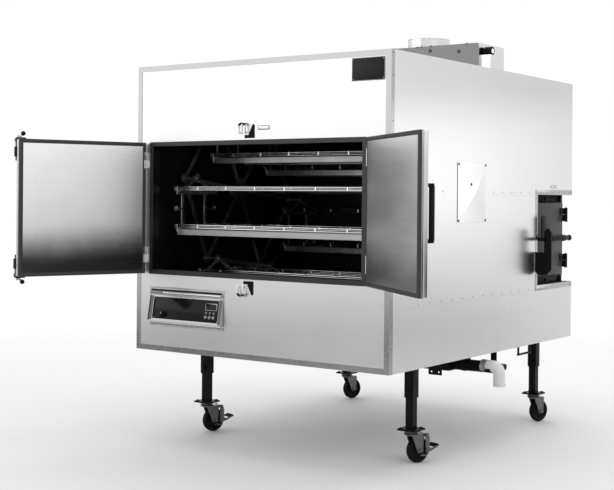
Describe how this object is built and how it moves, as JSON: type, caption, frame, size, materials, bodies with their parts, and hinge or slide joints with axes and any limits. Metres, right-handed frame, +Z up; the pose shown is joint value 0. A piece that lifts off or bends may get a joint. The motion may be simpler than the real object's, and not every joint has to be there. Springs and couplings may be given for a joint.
{
  "type": "rotisserie oven",
  "caption": "Floor-standing commercial rotisserie smoker oven: insulated cabinet on casters, swinging doors, a turning wheel of hanging rack carriers, side firebox and flue hood.",
  "frame": {"origin": "centre of the cabinet in plan, on the floor under the casters", "axes": "-Y is the front with the doors, +X the side with the firebox, +Z up through the flue"},
  "size_m": [2.2465, 2.6923, 2.188],
  "materials": {
    "casing_steel": "brushed",
    "bright_trim": "satin",
    "mineral_wool": "fibrous",
    "chamber_steel": "smoked",
    "black_panel": "satin black",
    "lamps": "gloss",
    "black_steel": "satin black",
    "lever_ball": "gloss black",
    "cast_parts": "painted cast",
    "white_pipe": "moulded",
    "button_cap": "gloss",
    "knob": "satin",
    "door_steel": "brushed",
    "gasket": "matte",
    "fire_door_paint": "satin",
    "rotor_steel": "mill",
    "chromed_wire": "bright",
    "zinc_fork": "zinc plated",
    "caster_tread": "matte",
    "brake_steel": "satin"
  },
  "bodies": {
    "cabinet": {"front_panel": "casing_steel", "side_panels": "casing_steel", "casing_wrap": "casing_steel", "bottom_panel": "casing_steel", "corner_trim": "bright_trim", "insulation": "mineral_wool", "chamber_liner": "chamber_steel", "door_jamb": "chamber_steel", "control_frame": "bright_trim", "control_housing": "casing_steel", "control_faceplate": "black_panel", "panel_lights": "lamps", "latch_keepers": "black_steel", "side_cover": "bright_trim", "firebox_trim": "bright_trim", "firebox_liner": "chamber_steel", "top_housing": "casing_steel", "flue_collar": "bright_trim", "draft_motor": "black_steel", "shaft_bearings": "cast_parts", "gear_motor": "cast_parts", "drive_guard": "casing_steel", "drain_trough": "casing_steel", "drain_elbow": "white_pipe", "leg_sleeves": "black_steel", "leg_tubes": "black_steel", "hinge_leaves": "bright_trim"},
    "left_door": {"left_door": "door_steel", "left_door_gasket": "gasket", "left_door_hardware": "black_steel"},
    "right_door": {"right_door": "door_steel", "right_door_gasket": "gasket", "right_door_handle": "black_steel"},
    "upper_latch": {"upper_latch": "lever_ball"},
    "lower_latch": {"lower_latch": "lever_ball"},
    "firebox_door": {"firebox_door": "fire_door_paint"},
    "firebox_latch": {"firebox_latch": "black_steel"},
    "rotor": {"rotor": "rotor_steel"},
    "draft_fan": {"draft_fan": "rotor_steel"},
    "control_knob": {"control_knob": "knob"},
    "button_1": {"button_1": "button_cap"},
    "button_2": {"button_2": "button_cap"},
    "button_3": {"button_3": "button_cap"},
    "carrier_1": {"carrier_1": "chromed_wire"},
    "carrier_2": {"carrier_2": "chromed_wire"},
    "carrier_3": {"carrier_3": "chromed_wire"},
    "carrier_4": {"carrier_4": "chromed_wire"},
    "carrier_5": {"carrier_5": "chromed_wire"},
    "carrier_6": {"carrier_6": "chromed_wire"},
    "caster_fork_1": {"caster_fork_1": "zinc_fork"},
    "caster_fork_2": {"caster_fork_2": "zinc_fork"},
    "caster_fork_3": {"caster_fork_3": "zinc_fork"},
    "caster_fork_4": {"caster_fork_4": "zinc_fork"},
    "caster_wheel_1": {"caster_wheel_1": "caster_tread"},
    "caster_wheel_2": {"caster_wheel_2": "caster_tread"},
    "caster_wheel_3": {"caster_wheel_3": "caster_tread"},
    "caster_wheel_4": {"caster_wheel_4": "caster_tread"},
    "brake_pedal_1": {"brake_pedal_1": "brake_steel"},
    "brake_pedal_2": {"brake_pedal_2": "brake_steel"}
  },
  "joints": [
    {"name": "left_door_swing", "type": "hinge", "parent": "cabinet", "child": "left_door", "pos_m": [-0.715, -1.0295, 1.2305], "axis": [0, 0, -1], "range_deg": [-111.5, 30.5]},
    {"name": "right_door_swing", "type": "hinge", "parent": "cabinet", "child": "right_door", "pos_m": [0.667, -1.0295, 1.2305], "axis": [0, 0, 1], "range_deg": [-141, 0]},
    {"name": "upper_latch_turn", "type": "hinge", "parent": "left_door", "child": "upper_latch", "pos_m": [-1.0141, -1.64146, 1.567], "axis": [0.9304, -0.3665, 0], "range_deg": [0, 80]},
    {"name": "lower_latch_turn", "type": "hinge", "parent": "left_door", "child": "lower_latch", "pos_m": [-1.0141, -1.64146, 0.894], "axis": [-0.9304, 0.3665, 0], "range_deg": [0, 80]},
    {"name": "firebox_door_swing", "type": "hinge", "parent": "cabinet", "child": "firebox_door", "pos_m": [0.775, 0.9505, 1.065], "axis": [0, 0, 1], "range_deg": [0, 110]},
    {"name": "firebox_latch_lift", "type": "hinge", "parent": "firebox_door", "child": "firebox_latch", "pos_m": [0.805, 0.9225, 1.071], "axis": [-1, 0, 0], "range_deg": [0, 25]},
    {"name": "rotor_spin", "type": "hinge", "parent": "cabinet", "child": "rotor", "pos_m": [0, -0.2695, 1.334], "axis": [1, 0, 0], "continuous": true},
    {"name": "carrier_1_swing", "type": "hinge", "parent": "rotor", "child": "carrier_1", "pos_m": [0, -0.74598, 1.392], "axis": [1, 0, 0], "continuous": true},
    {"name": "carrier_2_swing", "type": "hinge", "parent": "rotor", "child": "carrier_2", "pos_m": [0, -0.45751, 1.77565], "axis": [1, 0, 0], "continuous": true},
    {"name": "carrier_3_swing", "type": "hinge", "parent": "rotor", "child": "carrier_3", "pos_m": [0, 0.01897, 1.71765], "axis": [1, 0, 0], "continuous": true},
    {"name": "carrier_4_swing", "type": "hinge", "parent": "rotor", "child": "carrier_4", "pos_m": [0, 0.20698, 1.276], "axis": [1, 0, 0], "continuous": true},
    {"name": "carrier_5_swing", "type": "hinge", "parent": "rotor", "child": "carrier_5", "pos_m": [0, -0.08149, 0.89235], "axis": [1, 0, 0], "continuous": true},
    {"name": "carrier_6_swing", "type": "hinge", "parent": "rotor", "child": "carrier_6", "pos_m": [0, -0.55797, 0.95035], "axis": [1, 0, 0], "continuous": true},
    {"name": "draft_fan_spin", "type": "hinge", "parent": "cabinet", "child": "draft_fan", "pos_m": [0.599, 0.1925, 2.092], "axis": [1, 0, 0], "continuous": true},
    {"name": "button_1_press", "type": "slide", "parent": "cabinet", "child": "button_1", "axis": [0, 0.983, -0.1834], "range_m": [0, 0.0025], "stiffness_N_per_m": 400},
    {"name": "button_2_press", "type": "slide", "parent": "cabinet", "child": "button_2", "axis": [0, 0.983, -0.1834], "range_m": [0, 0.0025], "stiffness_N_per_m": 400},
    {"name": "button_3_press", "type": "slide", "parent": "cabinet", "child": "button_3", "axis": [0, 0.983, -0.1834], "range_m": [0, 0.0025], "stiffness_N_per_m": 400},
    {"name": "control_knob_turn", "type": "hinge", "parent": "cabinet", "child": "control_knob", "pos_m": [-0.587, -1.0389, 0.68139], "axis": [0, -0.983, 0.1834], "range_deg": [-135, 135]},
    {"name": "caster_1_swivel", "type": "hinge", "parent": "cabinet", "child": "caster_fork_1", "pos_m": [-0.6506, -0.5958, 0.149], "axis": [0, 0, 1], "continuous": true},
    {"name": "caster_1_roll", "type": "hinge", "parent": "caster_fork_1", "child": "caster_wheel_1", "pos_m": [-0.63678, -0.55762, 0.0635], "axis": [-0.9403, 0.3404, 0], "continuous": true},
    {"name": "brake_1_press", "type": "hinge", "parent": "caster_fork_1", "child": "brake_pedal_1", "pos_m": [-0.62521, -0.52565, 0.137], "axis": [-0.9403, 0.3404, 0], "range_deg": [0, 14]},
    {"name": "caster_2_swivel", "type": "hinge", "parent": "cabinet", "child": "caster_fork_2", "pos_m": [0.6506, -0.5958, 0.149], "axis": [0, 0, 1], "continuous": true},
    {"name": "caster_2_roll", "type": "hinge", "parent": "caster_fork_2", "child": "caster_wheel_2", "pos_m": [0.66442, -0.55762, 0.0635], "axis": [-0.9403, 0.3404, 0], "continuous": true},
    {"name": "brake_2_press", "type": "hinge", "parent": "caster_fork_2", "child": "brake_pedal_2", "pos_m": [0.67599, -0.52565, 0.137], "axis": [-0.9403, 0.3404, 0], "range_deg": [0, 14]},
    {"name": "caster_3_swivel", "type": "hinge", "parent": "cabinet", "child": "caster_fork_3", "pos_m": [-0.6506, 0.7921, 0.149], "axis": [0, 0, 1], "continuous": true},
    {"name": "caster_3_roll", "type": "hinge", "parent": "caster_fork_3", "child": "caster_wheel_3", "pos_m": [-0.63678, 0.83028, 0.0635], "axis": [-0.9403, 0.3404, 0], "continuous": true},
    {"name": "caster_4_swivel", "type": "hinge", "parent": "cabinet", "child": "caster_fork_4", "pos_m": [0.6506, 0.7921, 0.149], "axis": [0, 0, 1], "continuous": true},
    {"name": "caster_4_roll", "type": "hinge", "parent": "caster_fork_4", "child": "caster_wheel_4", "pos_m": [0.66442, 0.83028, 0.0635], "axis": [-0.9403, 0.3404, 0], "continuous": true}
  ],
  "couplings": [
    {"joint": "carrier_1_swing", "follows": "rotor_spin", "ratio": -1},
    {"joint": "carrier_2_swing", "follows": "rotor_spin", "ratio": -1},
    {"joint": "carrier_3_swing", "follows": "rotor_spin", "ratio": -1},
    {"joint": "carrier_4_swing", "follows": "rotor_spin", "ratio": -1},
    {"joint": "carrier_5_swing", "follows": "rotor_spin", "ratio": -1},
    {"joint": "carrier_6_swing", "follows": "rotor_spin", "ratio": -1}
  ]
}
